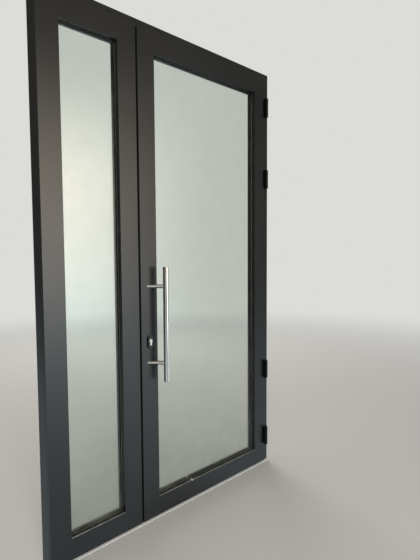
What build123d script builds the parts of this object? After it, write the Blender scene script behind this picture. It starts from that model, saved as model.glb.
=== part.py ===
from build123d import *

import os

# Glass entrance door in its frame: a hinged leaf beside a narrow fixed sidelight.
# The origin is at floor level under the middle of the frame, halfway through its depth.
# X runs right as seen from the pull side, Y runs into the door, and Z runs up. Millimetres.

# Whole door
sidelight_width = 496.0
leaf_width = 1000.0
leaf_height = 2528.0
leaf_bottom = 16.0
slot = 12.0

# Aluminium profiles: walls and the band of insulating bars inside each one
wall = 2.0
bar_band = 22.0
groove = 3.0
arris = 0.8

# Leaf and sidelight profile
face = 102.0
profile_depth = 70.0
lip_width = 14.0
lip_thickness = 12.0
flange_depth = 18.0
rebate = 22.0

# Frame profile
frame_face = 42.0
overlap = 8.0
lip_gap = 3.0
stop_gap = 3.0
stop_reach = 20.0
stop_thickness = 12.0
leg = 105.0
cleat_clearance = 0.2

# Seals
seal_width = 6.0
overlap_seal_height = 2.2
stop_seal_clearance = 0.3
seal_inset = 1.0
stop_seal_inset = 18.0

# Glazing
pane = 6.0
cavity = 12.0
gasket = 4.0
edge_cover = 15.0
gasket_cover = 14.0
spacer_height = 7.0
spacer_setback = 5.0
bead_wall = 1.5
bead_round = 3.0
packer_length = 100.0
packer_inset = 150.0

# Threshold
threshold_height = 9.0
threshold_nose = 5.0
nose_chamfer = 4.0
tread_ribs = 6
tread_pitch = 12.0
tread_depth = 1.0
tread_width = 5.0
sweep_thickness = 6.0
sweep_clearance = 0.5

# Sidelight fixings
frame_packer_length = 80.0
frame_packers_per_side = 4
sill_packer_setback = 14.0

# Wall anchors through the jambs
anchor_radius = 4.0
anchor_count = 4
anchor_spacing = 740.0

# Hinges
hinge_end_low = 175.0
hinge_end_high = 181.0
hinge_pair = 457.0
hinge_height = 116.0
barrel_radius = 12.5
axis_inset = 4.0
axis_stand_off = 13.5
hinge_plate = 6.0
frame_plate_width = 30.0
plate_bevel = 4.0
frame_plate_gap = 2.0
hinge_arm = 10.0
pin_radius = 6.0
pin_clearance = 0.05
washer = 1.0
cap_radius = 9.5
cap_height = 3.0

# Pull handles
handle_height = 1042.0
handle_length = 600.0
handle_radius = 15.0
handle_tube = 1.5
handle_plug = 4.0
handle_bevel = 0.8
handle_stand_off = 62.0
handle_backset = 50.0
post_spacing = 400.0
post_radius = 10.0
stud_radius = 4.0
stud_grip = 7.0
stud_clearance = 0.1

# Lock
lock_height = 959.0
lock_backset = 52.0
case_rise = 66.0
case_drop = 92.0
case_thickness = 16.0
case_wall = 1.5
faceplate_overhang = 20.0
faceplate_clearance = 0.2
bolt_height = 30.0
bolt_thickness = 12.0
bolt_length = 46.0
bolt_lift = 31.5
bolt_bevel = 1.0
bolt_clearance = 0.3
strike_thickness = 2.0
strike_width = 20.0
strike_height = 120.0

# Cylinder and escutcheons
cylinder_radius = 8.5
cylinder_web = 10.0
cylinder_height = 33.0
cylinder_clearance = 0.5
cylinder_proud = 1.0
plug_radius = 6.5
plug_clearance = 0.05
keyway_width = 2.4
keyway_height = 8.0
keyway_depth = 24.0
cam_gap = 10.0
cam_width = 9.0
cam_radius = 7.5
cam_reach = 15.3
cam_finger = 7.0
swing_clearance = 0.5
screw_radius = 2.5
screw_head_radius = 4.5
screw_head = 2.0
screw_clearance = 0.1
screw_drop = 20.3
faceplate_screw = 20.0
escutcheon_width = 34.0
escutcheon_height = 70.0
escutcheon_thickness = 10.0
escutcheon_drop = 8.0
escutcheon_chamfer = 2.5

# Places that follow from the sizes above
frame_depth = profile_depth - lip_thickness - lip_gap + stop_gap + stop_thickness
frame_front = -frame_depth / 2
frame_back = frame_depth / 2
frame_width = sidelight_width + slot + leaf_width + frame_face
frame_right = frame_width / 2
frame_left = -frame_right
leaf_right = frame_right - frame_face
leaf_left = leaf_right - leaf_width
sidelight_right = leaf_left - slot
leaf_top = leaf_bottom + leaf_height
frame_top = leaf_top + frame_face
leaf_front = frame_front - lip_gap - lip_thickness
leaf_back = leaf_front + profile_depth
band_front = leaf_front + (profile_depth - bar_band) / 2
band_back = band_front + bar_band
band_middle = (band_front + band_back) / 2
glass_front = flange_depth + gasket
glass_back = glass_front + 2 * pane + cavity
bead_front = glass_back + gasket
mullion_middle = leaf_left - slot / 2
mullion_right = leaf_left + overlap
mullion_left = sidelight_right - overlap
head_under = leaf_top - overlap
jamb_inner_left = frame_left + overlap
hinge_x = leaf_right - axis_inset
hinge_y = leaf_front - axis_stand_off
hinge_heights = [
    leaf_bottom + hinge_end_low,
    leaf_bottom + hinge_end_low + hinge_pair,
    leaf_top - hinge_end_high - hinge_pair,
    leaf_top - hinge_end_high,
]
lock_x = leaf_left + lock_backset
lock_z = leaf_bottom + lock_height
handle_x = leaf_left + handle_backset
post_heights = [leaf_bottom + handle_height + side * post_spacing / 2 for side in (-1, 1)]
mitre_reach = face + rebate
far = 4 * frame_depth


def outline(*points):
    """A face inside straight lines through the points."""
    return make_face(Polyline(*points, close=True))


def patch(u0, u1, v0, v1):
    """A rectangle between two corners of a section."""
    return outline((u0, v0), (u1, v0), (u1, v1), (u0, v1))


def at(section, *corners):
    """The section's own vertices at the named corners."""
    return [section.vertices().sort_by_distance(Vector(*corner, 0))[0] for corner in corners]


def block(x0, x1, y0, y1, z0, z1):
    """A box between two corners."""
    return Pos((x0 + x1) / 2, (y0 + y1) / 2, (z0 + z1) / 2) * Box(abs(x1 - x0), abs(y1 - y0), abs(z1 - z0))


def rod(radius, start, direction, length):
    """A round bar from a start point along a direction."""
    return Plane(origin=start, z_dir=direction) * extrude(Circle(radius), amount=length)


def upright(section, z0, z1):
    """A section drawn in X and Y, carried from one height to another."""
    return Pos(0, 0, z0) * extrude(section, amount=z1 - z0)


class Ring:
    """A rectangle in the plane of the door, whose sides carry mitred lengths of a section.

    A section's u runs inwards from the rectangle's edge, and its v runs away from the front.
    An open ring stands on its two square-cut feet and has no bottom side.
    """

    def __init__(self, left, right, bottom, top, front, is_open=False):
        self.left, self.right, self.bottom, self.top = left, right, bottom, top
        self.front = front
        self.is_open = is_open

    def bar(self, section, side):
        """The section carried along one whole side, cut square."""
        left, right, bottom, top, y = self.left, self.right, self.bottom, self.top, self.front
        origin, inwards, along, length = {
            "left": ((left, y, bottom), (1, 0, 0), (0, 0, 1), top - bottom),
            "top": ((left, y, top), (0, 0, -1), (1, 0, 0), right - left),
            "right": ((right, y, top), (-1, 0, 0), (0, 0, -1), top - bottom),
            "bottom": ((right, y, bottom), (0, 0, 1), (-1, 0, 0), right - left),
        }[side]
        return Plane(origin=origin, x_dir=inwards, z_dir=along) * extrude(section, amount=length)

    def wedge(self, side):
        """The prism between the two mitre planes of a side."""
        left, right, bottom, top = self.left, self.right, self.bottom, self.top
        low = bottom if self.is_open else bottom + mitre_reach
        high = top - mitre_reach
        near, beyond = left + mitre_reach, right - mitre_reach
        points = {
            "left": [(left, bottom), (left, top), (near, high), (near, low)],
            "top": [(left, top), (right, top), (beyond, high), (near, high)],
            "right": [(right, bottom), (right, top), (beyond, high), (beyond, low)],
            "bottom": [(left, bottom), (right, bottom), (beyond, low), (near, low)],
        }[side]
        return extrude(Plane.XZ * outline(*points), amount=far, both=True)

    def side(self, section, side):
        """One mitred side."""
        return self.bar(section, side) & self.wedge(side)

    def sides(self):
        """The names of the sides that the ring has."""
        return ["left", "top", "right"] + ([] if self.is_open else ["bottom"])

    def loop(self, section):
        """All the sides joined into one piece."""
        pieces = [self.side(section, side) for side in self.sides()]
        joined = pieces[0]
        for piece in pieces[1:]:
            joined += piece
        return joined

    def corner(self, section, horizontal, vertical, length):
        """The piece of the loop within a length of one corner."""
        x = self.left if horizontal == "left" else self.right
        z = self.bottom if vertical == "bottom" else self.top
        turn = self.side(section, horizontal) + self.side(section, vertical)
        return turn & block(x - length, x + length, -far, far, z - length, z + length)


leaf_ring = Ring(leaf_left, leaf_right, leaf_bottom, leaf_top, leaf_front)
sidelight_ring = Ring(frame_left, sidelight_right, leaf_bottom, leaf_top, leaf_front)
leaf_opening = Ring(leaf_left, leaf_right, threshold_height, leaf_top, leaf_front, is_open=True)
sidelight_opening = Ring(frame_left, sidelight_right, threshold_height, leaf_top, leaf_front, is_open=True)


def save(name, *solids):
    """Writes one node, of one solid or of several alike."""
    pieces = [piece for solid in solids for piece in solid.solids()]
    export_step(pieces[0] if len(pieces) == 1 else Compound(pieces), f"parts/{name}.step")


def panel_section():
    """The profile of the leaf and the sidelight, a lip, a hollow body and a glazing flange.

    The lip laps over the frame, and the flange holds the glass from the front. Two shells are
    held apart by bars inside the body, and a groove for fittings runs round its outer side.
    """
    inner = face - rebate
    near = (profile_depth - bar_band) / 2
    beyond = near + bar_band
    body = outline(
        (0, 0), (face, 0), (face, flange_depth), (inner, flange_depth), (inner, profile_depth),
        (lip_width, profile_depth), (lip_width, beyond), (lip_width + groove, beyond),
        (lip_width + groove, near), (lip_width, near), (lip_width, lip_thickness), (0, lip_thickness),
    )
    body = chamfer(at(body, (0, 0), (face, 0)), arris)
    front = outline(
        (wall, wall), (face - wall, wall), (face - wall, flange_depth - wall),
        (inner - wall, flange_depth - wall), (inner - wall, near - wall), (lip_width + wall, near - wall),
        (lip_width + wall, lip_thickness - wall), (wall, lip_thickness - wall),
    )
    middle = patch(lip_width + groove + wall, inner - wall, near, beyond)
    rear = patch(lip_width + wall, inner - wall, beyond + wall, profile_depth - wall)
    return body - front - middle - rear


def frame_section(width):
    """The frame's profile: a hollow body of the given width, with a stop flange at its back."""
    near = band_front - frame_front
    beyond = near + bar_band
    stop = frame_depth - stop_thickness
    body = outline(
        (0, 0), (width, 0), (width, stop), (width + stop_reach, stop), (width + stop_reach, frame_depth),
        (0, frame_depth),
    )
    body = chamfer(at(body, (0, 0)), arris)
    front = patch(wall, width - wall, wall, near - wall)
    middle = patch(wall, width - wall, near, beyond)
    rear = outline(
        (wall, beyond + wall), (width - wall, beyond + wall), (width - wall, stop + wall),
        (width + stop_reach - wall, stop + wall), (width + stop_reach - wall, frame_depth - wall),
        (wall, frame_depth - wall),
    )
    return body - front - middle - rear


def mullion_section():
    """The mullion's profile in X and Y, with a stop flange on each side."""
    half = (mullion_right - mullion_left) / 2
    near, beyond = band_front - wall, band_back + wall
    stop = frame_back - stop_thickness
    body = outline(
        (-half, frame_front), (half, frame_front), (half, stop), (half + stop_reach, stop),
        (half + stop_reach, frame_back), (-half - stop_reach, frame_back), (-half - stop_reach, stop),
        (-half, stop),
    )
    front = patch(wall - half, half - wall, frame_front + wall, near)
    middle = patch(wall - half, half - wall, band_front, band_back)
    inner = half + stop_reach - wall
    rear = outline(
        (wall - half, beyond), (half - wall, beyond), (half - wall, stop + wall), (inner, stop + wall),
        (inner, frame_back - wall), (-inner, frame_back - wall), (-inner, stop + wall),
        (wall - half, stop + wall),
    )
    return Pos(mullion_middle, 0) * (body - front - middle - rear)


def bulb(u, base, height):
    """A seal's section: a flat foot and a rounded top."""
    foot = height / 2
    return make_face(
        Line((u, base), (u + seal_width, base))
        + Line((u + seal_width, base), (u + seal_width, base + foot))
        + ThreePointArc((u + seal_width, base + foot), (u + seal_width / 2, base + height), (u, base + foot))
        + Line((u, base + foot), (u, base))
    )


def euro_profile(grow=0.0):
    """The cylinder's outline about its round end: a circle above a straight web."""
    end = cylinder_height - cylinder_radius - cylinder_web / 2
    profile = Circle(cylinder_radius + grow)
    profile += Pos(0, -end / 2) * Rectangle(cylinder_web + 2 * grow, end)
    return profile + Pos(0, -end) * Circle(cylinder_web / 2 + grow)


def facing(x, y, z, side):
    """A plane on the leaf that faces the pull side (-1) or the far side (1), with its y upwards."""
    return Plane(origin=(x, y, z), x_dir=(-side, 0, 0), z_dir=(0, side, 0))


def through(section, x, z, y0, y1):
    """A section drawn in X and Z, carried from one depth to another."""
    return facing(x, y0, z, 1) * extrude(mirror(section, Plane.YZ), amount=y1 - y0)


def frame_pieces():
    """Head, jambs, mullion and the cleat of the mitred corner."""
    ring = Ring(frame_left, frame_right, threshold_height, frame_top, frame_front, is_open=True)
    strip = frame_face + overlap
    head = ring.bar(frame_section(strip), "top")
    mitre = strip + stop_reach
    right_foot = outline(
        (frame_right, frame_top), (frame_right - mitre, frame_top - mitre),
        (frame_right, frame_top - mitre),
    )
    head -= extrude(Plane.XZ * right_foot, amount=far, both=True)
    right_jamb = ring.side(frame_section(strip), "right")
    coped = block(frame_left, frame_right, frame_front, frame_back, head_under, frame_top)
    stop_front = frame_back - stop_thickness
    coped += block(frame_left, frame_right, stop_front, frame_back, head_under - stop_reach, frame_top)
    left_jamb = ring.bar(frame_section(overlap), "left") - coped
    mullion = upright(mullion_section(), threshold_height, frame_top) - coped
    for z in anchor_heights():
        hole = rod(anchor_radius, (frame_right, band_middle, z), (-1, 0, 0), strip)
        right_jamb -= hole
        left_jamb -= rod(anchor_radius, (frame_left, band_middle, z), (1, 0, 0), overlap)
    mullion -= bolt_slot(mullion_right - wall, mullion_right)
    save("frame_head", head)
    save("frame_right_jamb", right_jamb)
    save("frame_left_jamb", left_jamb)
    save("mullion", mullion)
    behind = band_back - frame_front + wall + cleat_clearance
    c = wall + cleat_clearance
    section = patch(c, strip - c, behind, frame_depth - c)
    save("frame_corner_cleat", ring.corner(section, "right", "top", leg))


def anchor_heights():
    """Heights of the anchor holes, spread about the middle of the jambs."""
    middle = (threshold_height + frame_top) / 2
    return [middle + (i - (anchor_count - 1) / 2) * anchor_spacing for i in range(anchor_count)]


def frame_seals():
    """Seals that stand on the frame under the lips, and on the stop flanges behind the panels."""
    rings = (leaf_opening, sidelight_opening)
    under_lip = bulb(seal_inset, lip_thickness + lip_gap, -overlap_seal_height)
    save("overlap_seals", *[ring.loop(under_lip) for ring in rings])
    on_stop = bulb(stop_seal_inset, profile_depth + stop_gap, stop_seal_clearance - stop_gap)
    save("stop_seals", *[ring.loop(on_stop) for ring in rings])


def threshold_piece():
    """The silver threshold: a low hollow extrusion with a chamfered nose and a ribbed tread."""
    nose = leaf_front - threshold_nose
    h = threshold_height
    body = patch(nose, frame_back, 0, h)
    body = chamfer(at(body, (nose, h)), nose_chamfer)
    first = band_middle - (tread_ribs - 1) / 2 * tread_pitch
    for i in range(tread_ribs):
        middle = first + i * tread_pitch
        body -= patch(middle - tread_width / 2, middle + tread_width / 2, h - tread_depth, h)
    third = (frame_back - nose - 2 * wall) / 3
    for i in range(3):
        start = nose + wall + i * third
        floor, ceiling = wall, h - tread_depth - wall
        inset = nose_chamfer if i == 0 else 0
        body -= patch(start + inset, start + third - (wall if i < 2 else 0), floor, ceiling)
    side = Plane(origin=(frame_left, 0, 0), x_dir=(0, 1, 0), z_dir=(1, 0, 0))
    save("threshold", side * extrude(body, amount=frame_width))


def panel_pieces(name, ring, names, fittings):
    """The four mitred members of a panel, their cleats, and everything that holds its glass."""
    members = {side: ring.side(panel_section(), side) for side in ring.sides()}
    for side, cuts in fittings.items():
        for cut in cuts:
            members[side] -= cut
    for side, member in members.items():
        save(f"{name}_{names[side]}", member)
    beyond = (profile_depth + bar_band) / 2 + wall + cleat_clearance
    c = wall + cleat_clearance
    cleat = patch(lip_width + c, face - rebate - c, beyond, profile_depth - c)
    corners = [(x, z) for x in ("left", "right") for z in ("top", "bottom")]
    save(f"{name}_corner_cleats", *[ring.corner(cleat, x, z, leg) for x, z in corners])
    edge = face - edge_cover
    y = ring.front
    x0, x1 = ring.left + edge, ring.right - edge
    z0, z1 = ring.bottom + edge, ring.top - edge
    outer, inner = y + glass_front, y + glass_back
    save(f"{name}_outer_pane", block(x0, x1, outer, outer + pane, z0, z1))
    save(f"{name}_inner_pane", block(x0, x1, inner - pane, inner, z0, z1))
    start = edge + spacer_setback
    gap = glass_front + pane
    save(f"{name}_spacer", ring.loop(patch(start, start + spacer_height, gap, gap + cavity)))
    lap = face - gasket_cover
    save(f"{name}_outer_gasket", ring.loop(patch(lap, face, flange_depth, glass_front)))
    save(f"{name}_inner_gasket", ring.loop(patch(lap, face, glass_back, bead_front)))
    save(f"{name}_glazing_beads", *beads(ring))
    save(f"{name}_glazing_packers", *glazing_packers(ring))


def beads(ring):
    """Four hollow glazing beads on the far side: long level ones, and upright ones between them."""
    inner = face - rebate
    section = patch(inner, face, bead_front, profile_depth)
    section = fillet(at(section, (face, profile_depth)), bead_round)
    section -= patch(inner + bead_wall, face - bead_wall, bead_front + bead_wall, profile_depth - bead_wall)
    level = [ring.bar(section, side) for side in ("top", "bottom")]
    plumb = [ring.bar(section, side) for side in ("left", "right")]
    across = block(ring.left + inner, ring.right - inner, -far, far, ring.bottom, ring.top)
    between = block(ring.left, ring.right, -far, far, ring.bottom + face, ring.top - face)
    return [bar & across for bar in level] + [bar & between for bar in plumb]


def glazing_packers(ring):
    """Blocks between the glass and the profile, two on each side."""
    inner, edge = face - rebate, face - edge_cover
    y0, y1 = ring.front + glass_front, ring.front + glass_back
    level = [ring.left + face + packer_length / 2, ring.right - face - packer_length / 2]
    plumb = [ring.bottom + face + packer_inset, ring.top - face - packer_inset]
    half = packer_length / 2
    blocks = []
    for x in level:
        blocks.append(block(x - half, x + half, y0, y1, ring.bottom + inner, ring.bottom + edge))
        blocks.append(block(x - half, x + half, y0, y1, ring.top - edge, ring.top - inner))
    for z in plumb:
        blocks.append(block(ring.left + inner, ring.left + edge, y0, y1, z - half, z + half))
        blocks.append(block(ring.right - edge, ring.right - inner, y0, y1, z - half, z + half))
    return blocks


def sidelight_packers():
    """Packers that centre the fixed sidelight in the frame, and the sill packer that carries it."""
    y0, y1 = band_back, leaf_back
    left, right = jamb_inner_left, frame_left + lip_width
    mullion_side, sash_side = mullion_left, sidelight_right - lip_width
    spread = leaf_height - 2 * leg - frame_packer_length
    half = frame_packer_length / 2
    blocks = []
    for i in range(frame_packers_per_side):
        z = leaf_bottom + leg + half + spread * i / (frame_packers_per_side - 1)
        blocks.append(block(left, right, y0, y1, z - half, z + half))
        blocks.append(block(sash_side, mullion_side, y0, y1, z - half, z + half))
    x = (frame_left + sidelight_right) / 2
    blocks.append(block(x - half, x + half, y0, y1, leaf_top - lip_width, head_under))
    save("sidelight_frame_packers", *blocks)
    front, back = leaf_front + sill_packer_setback, leaf_back
    sill = block(jamb_inner_left, mullion_left, front, back, threshold_height, leaf_bottom + lip_width)
    inside = block(
        jamb_inner_left, mullion_left, front + wall, back - wall, threshold_height + wall,
        leaf_bottom + lip_width - wall,
    )
    save("sidelight_sill_packer", sill - inside)


def hinge_pieces():
    """Four barrel hinges, each a frame part below and a leaf part above on one pin."""
    barrel = Pos(hinge_x, hinge_y) * Circle(barrel_radius)
    bore = Pos(hinge_x, hinge_y) * Circle(pin_radius + pin_clearance)
    leaf_x, frame_x = leaf_right - frame_plate_gap, leaf_right + frame_plate_gap
    frame_plate = patch(frame_x, frame_x + frame_plate_width, frame_front - hinge_plate, frame_front)
    leaf_neck = patch(hinge_x - barrel_radius, leaf_x, hinge_y, leaf_front)
    frame_neck = outline(
        (frame_x, frame_front), (frame_x + hinge_arm + hinge_plate, frame_front),
        (frame_x + hinge_arm, frame_front - 2 * hinge_plate), (frame_x + hinge_arm, hinge_y),
        (hinge_x, hinge_y - barrel_radius), (hinge_x, hinge_y), (frame_x, hinge_y + barrel_radius),
    )
    knuckle = (hinge_height - washer) / 2
    pins, washers, caps = [], [], []
    for i, middle in enumerate(hinge_heights, 1):
        low, high = middle - hinge_height / 2, middle + hinge_height / 2
        seam_low, seam_high = low + knuckle, high - knuckle
        frame_part = upright(barrel + frame_neck, low, seam_low) + plate(frame_plate, low, high)
        frame_part -= upright(bore, low, seam_low)
        leaf_part = upright(barrel + leaf_neck - bore, seam_high, high)
        save(f"hinge_frame_part_{i}", frame_part)
        save(f"hinge_leaf_part_{i}", leaf_part)
        pins.append(rod(pin_radius, (hinge_x, hinge_y, low), (0, 0, 1), hinge_height))
        washers.append(upright(barrel - bore, seam_low, seam_high))
        caps.append(rod(cap_radius, (hinge_x, hinge_y, high), (0, 0, 1), cap_height))
    save("hinge_pins", *pins)
    save("hinge_washers", *washers)
    save("hinge_caps", *caps)


def plate(section, low, high):
    """A hinge plate with bevelled corners."""
    solid = upright(section, low, high)
    return chamfer(solid.edges().filter_by(Axis.Y), plate_bevel)


def pull_handle(side):
    """A tube on two slanting posts, cut flush with the face it stands on."""
    y = leaf_front if side < 0 else leaf_back
    axis_x, axis_y = handle_x + handle_stand_off, y + side * handle_stand_off
    low = leaf_bottom + handle_height - handle_length / 2
    tube = rod(handle_radius, (axis_x, axis_y, low), (0, 0, 1), handle_length)
    tube = chamfer(tube.edges().filter_by(GeomType.CIRCLE), handle_bevel)
    hollow = handle_length - 2 * handle_plug
    void = rod(handle_radius - handle_tube, (axis_x, axis_y, low + handle_plug), (0, 0, 1), hollow)
    handle = tube
    for z in post_heights:
        start = (handle_x - handle_stand_off, y - side * handle_stand_off, z)
        post = rod(post_radius, start, (1, side, 0), 2 * handle_stand_off * 2**0.5)
        handle += post
    keep = block(-far + handle_x, far + handle_x, y, y + side * far, low - far, low + handle_length + far)
    handle = handle & keep
    handle -= void
    for z in post_heights:
        handle -= rod(stud_radius + stud_clearance, (handle_x, y, z), (0, side, 0), stud_grip)
    return handle


def escutcheon(side):
    """A long oval cover with a bevelled rim, pierced for the cylinder."""
    y = leaf_front if side < 0 else leaf_back
    plane = facing(lock_x, y, lock_z - escutcheon_drop, side)
    oval = SlotOverall(escutcheon_height, escutcheon_width, rotation=90)
    cover = extrude(oval, amount=escutcheon_thickness)
    cover = chamfer(cover.edges().group_by(Axis.Z)[-1], escutcheon_chamfer)
    hole = Pos(0, escutcheon_drop) * euro_profile(cylinder_clearance)
    return plane * (cover - extrude(hole, amount=escutcheon_thickness))


def bolt_slot(x0, x1):
    """The slot that the deadbolt passes through, between two places in X."""
    z = lock_z + bolt_lift
    half_y = bolt_thickness / 2 + bolt_clearance
    half_z = bolt_height / 2 + bolt_clearance
    return block(x0, x1, band_middle - half_y, band_middle + half_y, z - half_z, z + half_z)


def screw(x, z, length, grow=0.0):
    """A countersunk screw driven along X from the leaf's edge, or the hole that it leaves."""
    shank = rod(screw_radius + grow, (x, band_middle, z), (1, 0, 0), length)
    base = (Align.CENTER, Align.CENTER, Align.MIN)
    head = Cone(screw_head_radius + grow, screw_radius + grow, screw_head, align=base)
    return shank + Plane(origin=(x, band_middle, z), z_dir=(1, 0, 0)) * head


def lock_pieces():
    """Lock case, faceplate, deadbolt, strike, cylinder with its plugs and cam, and escutcheons."""
    outer = leaf_left + lip_width
    case_x0, case_x1 = outer + groove, lock_x + cam_reach + swing_clearance + case_wall
    case_z0, case_z1 = lock_z - case_drop, lock_z + case_rise
    half = case_thickness / 2
    case = block(case_x0, case_x1, band_middle - half, band_middle + half, case_z0, case_z1)
    w = case_wall
    case -= block(
        case_x0 + w, case_x1 - w, band_middle - half + w, band_middle + half - w, case_z0 + w, case_z1 - w
    )
    case -= bolt_slot(case_x0, case_x0 + w)
    case -= through(euro_profile(cylinder_clearance), lock_x, lock_z, band_middle - half, band_middle + half)
    plate_half = bar_band / 2 - faceplate_clearance
    plate_z0, plate_z1 = case_z0 - faceplate_overhang, case_z1 + faceplate_overhang
    faceplate = block(outer, case_x0, band_middle - plate_half, band_middle + plate_half, plate_z0, plate_z1)
    faceplate -= bolt_slot(outer, case_x0)
    holders = [
        (plate_z0 + faceplate_overhang / 2, faceplate_screw),
        (plate_z1 - faceplate_overhang / 2, faceplate_screw),
        (lock_z - screw_drop, lock_x + cylinder_web / 2 - outer),
    ]
    screws = [screw(outer, z, length) for z, length in holders]
    holes = [screw(outer, z, length, screw_clearance) for z, length in holders]
    for hole in holes:
        faceplate -= hole
    case -= holes[2]
    save("lock_case", case)
    save("lock_faceplate", faceplate)
    save("lock_screws", *screws)
    bolt_z = lock_z + bolt_lift
    bolt = block(
        outer, outer + bolt_length, band_middle - bolt_thickness / 2, band_middle + bolt_thickness / 2,
        bolt_z - bolt_height / 2, bolt_z + bolt_height / 2,
    )
    save("deadbolt", chamfer(bolt.faces().sort_by(Axis.X)[0].edges(), bolt_bevel))
    strike = block(
        mullion_right, mullion_right + strike_thickness, band_middle - strike_width / 2,
        band_middle + strike_width / 2, bolt_z - strike_height / 2, bolt_z + strike_height / 2,
    )
    save("strike_plate", strike - bolt_slot(mullion_right, mullion_right + strike_thickness))
    y0 = leaf_front - escutcheon_thickness - cylinder_proud
    y1 = leaf_back + escutcheon_thickness + cylinder_proud
    body = through(euro_profile(), lock_x, lock_z, y0, y1)
    body -= rod(plug_radius + plug_clearance, (lock_x, y0, lock_z), (0, 1, 0), y1 - y0)
    gap0, gap1 = band_middle - cam_gap / 2, band_middle + cam_gap / 2
    bridge = lock_z - cam_reach - swing_clearance
    body -= block(lock_x - far, lock_x + far, gap0, gap1, bridge, lock_z + far)
    body -= holes[2]
    save("cylinder_body", body)
    cam0, cam1 = band_middle - cam_width / 2, band_middle + cam_width / 2
    plugs = []
    for start, end, side in ((y0, cam0, 1), (y1, cam1, -1)):
        plug = rod(plug_radius, (lock_x, start, lock_z), (0, side, 0), abs(end - start))
        deep = start + side * keyway_depth
        slit = block(
            lock_x - keyway_width / 2, lock_x + keyway_width / 2, start, deep,
            lock_z - keyway_height / 2, lock_z + keyway_height / 2,
        )
        plugs.append(plug - slit)
    save("key_plugs", *plugs)
    cam = rod(cam_radius, (lock_x, cam0, lock_z), (0, 1, 0), cam_width)
    finger = block(lock_x - cam_finger / 2, lock_x + cam_finger / 2, cam0, cam1, lock_z - cam_reach, lock_z)
    cam += finger & rod(cam_reach, (lock_x, cam0, lock_z), (0, 1, 0), cam_width)
    save("cylinder_cam", cam)
    save("outer_escutcheon", escutcheon(-1))
    save("inner_escutcheon", escutcheon(1))


def lock_stile_cuts():
    """Holes in the lock stile for the cylinder, the lock case and the handle studs."""
    outer = leaf_left + lip_width
    half = case_thickness / 2 + cylinder_clearance
    z0, z1 = lock_z - case_drop, lock_z + case_rise
    low, high = z0 - cylinder_clearance, z1 + cylinder_clearance
    cuts = [through(euro_profile(cylinder_clearance), lock_x, lock_z, leaf_front, leaf_back)]
    groove_floor = outer + groove
    cuts.append(block(groove_floor, groove_floor + wall, band_middle - half, band_middle + half, low, high))
    for z in (z0 - faceplate_overhang / 2, z1 + faceplate_overhang / 2):
        cuts.append(screw(outer, z, faceplate_screw, screw_clearance))
    for z in post_heights:
        cuts.append(rod(stud_radius + stud_clearance, (handle_x, leaf_front, z), (0, 1, 0), profile_depth))
    return cuts


def bottom_seal():
    """A seal clipped in the groove under the bottom rail, with a blade down to the threshold."""
    c = faceplate_clearance
    x0, x1 = leaf_left + lip_width + groove, leaf_right - lip_width - groove
    top = leaf_bottom + lip_width + groove
    foot = block(x0, x1, band_front + c, band_back - c, top - groove, top)
    half = sweep_thickness / 2
    blade = block(x0, x1, band_middle - half, band_middle + half, threshold_height + sweep_clearance, top)
    save("leaf_bottom_seal", foot + blade)


def main():
    """Builds every piece of the door and writes each node."""
    os.makedirs("parts", exist_ok=True)
    frame_pieces()
    frame_seals()
    threshold_piece()
    rails = {"top": "top_rail", "bottom": "bottom_rail"}
    sidelight_stiles = {"left": "left_stile", "right": "right_stile"}
    leaf_stiles = {"left": "lock_stile", "right": "hinge_stile"}
    panel_pieces("sidelight", sidelight_ring, sidelight_stiles | rails, {})
    panel_pieces("leaf", leaf_ring, leaf_stiles | rails, {"left": lock_stile_cuts()})
    sidelight_packers()
    hinge_pieces()
    bottom_seal()
    lock_pieces()
    save("outer_pull_handle", pull_handle(-1))
    save("inner_pull_handle", pull_handle(1))
    studs = [
        rod(stud_radius, (handle_x, leaf_front - stud_grip, z), (0, 1, 0), profile_depth + 2 * stud_grip)
        for z in post_heights
    ]
    save("pull_handle_studs", *studs)


main()
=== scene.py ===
"""Dresses a glass entrance door: a hinged leaf beside a narrow fixed sidelight, in its frame.

Everything is in metres, with X to the right, Y into the door and Z up. The door stands on the
floor at Z = 0, and its pull side looks towards -Y.
"""

import logging
import math
from abc import ABC, abstractmethod
from collections.abc import Callable, Iterable
from dataclasses import dataclass
from enum import Enum
from functools import partial

import bmesh
import bpy
import numpy as np
from mathutils import Matrix, Vector

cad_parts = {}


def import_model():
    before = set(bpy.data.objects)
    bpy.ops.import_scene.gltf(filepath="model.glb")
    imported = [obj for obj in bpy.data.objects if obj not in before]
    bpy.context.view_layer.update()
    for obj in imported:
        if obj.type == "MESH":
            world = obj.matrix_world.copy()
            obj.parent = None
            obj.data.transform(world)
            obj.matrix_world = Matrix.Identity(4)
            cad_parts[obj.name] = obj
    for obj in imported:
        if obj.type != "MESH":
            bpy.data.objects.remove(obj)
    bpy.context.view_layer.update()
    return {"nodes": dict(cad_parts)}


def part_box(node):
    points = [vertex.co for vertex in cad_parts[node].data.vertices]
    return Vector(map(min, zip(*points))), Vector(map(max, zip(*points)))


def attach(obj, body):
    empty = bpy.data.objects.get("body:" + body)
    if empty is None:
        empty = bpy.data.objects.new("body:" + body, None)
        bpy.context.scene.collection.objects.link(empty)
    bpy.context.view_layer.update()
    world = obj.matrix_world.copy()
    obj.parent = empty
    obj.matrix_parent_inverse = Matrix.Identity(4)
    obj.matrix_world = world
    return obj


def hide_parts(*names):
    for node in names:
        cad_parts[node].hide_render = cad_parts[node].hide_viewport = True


LOG = logging.getLogger("door")
MM = 0.001
Array = np.ndarray
Pair = tuple[float, float]
Triple = tuple[float, float, float]
Socket = bpy.types.NodeSocket
Tree = bpy.types.NodeTree
# add_node with its tree already given
Add = Callable[..., Socket]


# Node and colour helpers


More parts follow.
